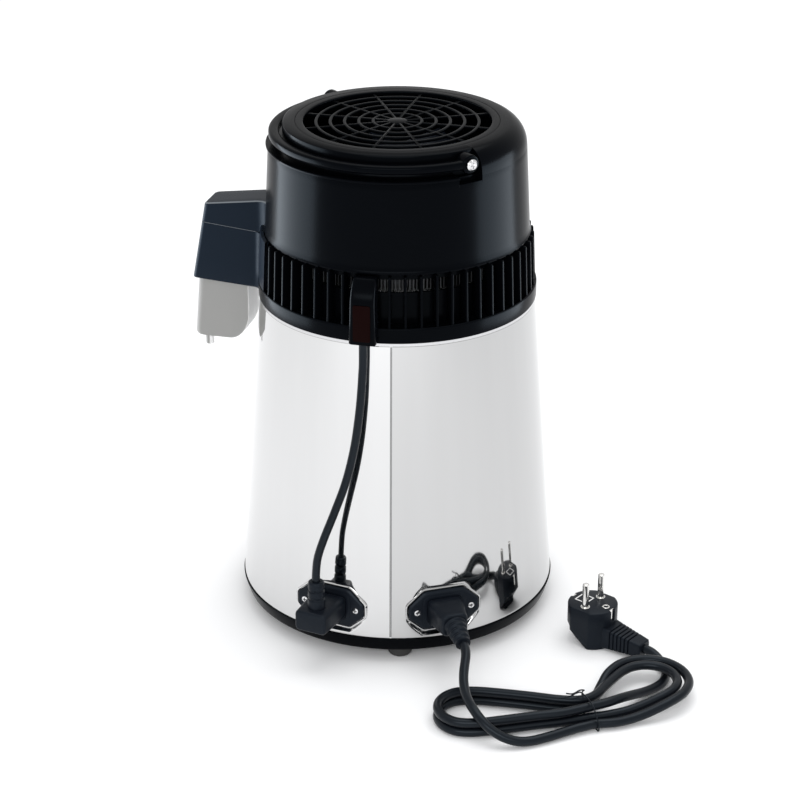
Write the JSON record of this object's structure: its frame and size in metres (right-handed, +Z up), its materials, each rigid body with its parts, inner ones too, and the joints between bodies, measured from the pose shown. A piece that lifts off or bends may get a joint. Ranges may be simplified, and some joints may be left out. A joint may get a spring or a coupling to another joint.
{
  "type": "countertop water distiller",
  "caption": "Countertop water distiller: mirror-steel boiler base, black fan-cooled condenser head with folding carry handle, side spout with filter cup, and mains lead.",
  "frame": {"origin": "on the boiler's axis, in the plane of the four rubber feet", "axes": "+Z up along the boiler's axis; the two sockets face -Y; the spout points towards -X"},
  "size_m": [0.3538, 0.343, 0.367],
  "materials": {
    "steel_mirror": "mirror-polished stainless sheet",
    "steel_satin": "satin stainless sheet",
    "aluminium": "plain aluminium",
    "black_gloss": "glossy bluish-black plastic",
    "black_satin": "satin black plastic",
    "rubber": "matt black rubber",
    "cord_pvc": "satin black flexible PVC",
    "milky_plastic": "milky clear plastic",
    "screw_steel": "bright plated steel",
    "nickel": "nickel-plated brass",
    "element_sheath": "oxidised sheath",
    "ceramic": "glazed ceramic",
    "silicone": "pale silicone",
    "cloth": "white tea-bag cloth",
    "red_panel": "dark red-brown plastic, bare",
    "motor_black": "black painted steel"
  },
  "bodies": {
    "base": {"feet": "rubber", "base_cover": "black_satin", "base_screws": "screw_steel", "outer_body": "steel_mirror", "boiler_pot": "steel_satin", "heater_plate": "aluminium", "heating_element": "element_sheath", "thermostat": "ceramic", "thermal_fuse": "ceramic", "heat_shield": "aluminium", "mains_socket": "black_satin", "fan_socket": "black_satin", "socket_pins": "nickel", "socket_screws": "screw_steel", "fan_connector": "cord_pvc", "fan_lead": "cord_pvc"},
    "head": {"seal_ring": "silicone", "inner_lid": "steel_satin", "vent_band": "black_gloss", "head_drum": "black_gloss", "top_cover": "black_gloss", "fan_grille": "black_gloss", "fan_bracket": "steel_satin", "bracket_screws": "screw_steel", "fan_motor": "motor_black", "condenser_coil": "steel_satin", "condenser_fins": "aluminium", "spout_body": "black_gloss", "spout_lid": "black_gloss", "pivot_screws": "screw_steel", "outlet_box": "black_gloss", "outlet_panel": "red_panel"},
    "rotor": {"fan_rotor": "black_satin"},
    "carry_handle": {"handle": "black_gloss"},
    "cup": {"filter_cup": "milky_plastic", "charcoal_sachet": "cloth"},
    "mains_lead": {"mains_connector": "cord_pvc", "mains_cord": "cord_pvc", "mains_hank": "cord_pvc", "twist_tie": "cord_pvc", "plug_cord": "cord_pvc", "plug_body": "cord_pvc", "plug_pins": "nickel", "earth_contacts": "nickel"}
  },
  "joints": [
    {"name": "head_lift", "type": "slide", "parent": "base", "child": "head", "axis": [0, 0, 1], "range_m": [0, 0.05], "deforming": ["fan_lead"]},
    {"name": "fan_spin", "type": "hinge", "parent": "head", "child": "rotor", "pos_m": [0, 0, 0.338], "axis": [0, 0, 1], "continuous": true},
    {"name": "handle_swing", "type": "hinge", "parent": "head", "child": "carry_handle", "pos_m": [0, 0, 0.3592], "axis": [-0.5446, 0.8387, 0], "range_deg": [0, 95]},
    {"name": "cup_pull", "type": "slide", "parent": "head", "child": "cup", "axis": [0, 0, -1], "range_m": [0, 0.05]},
    {"name": "mains_lead_pull", "type": "slide", "parent": "base", "child": "mains_lead", "axis": [0.2924, -0.9563, 0], "range_m": [0, 0.022]}
  ]
}
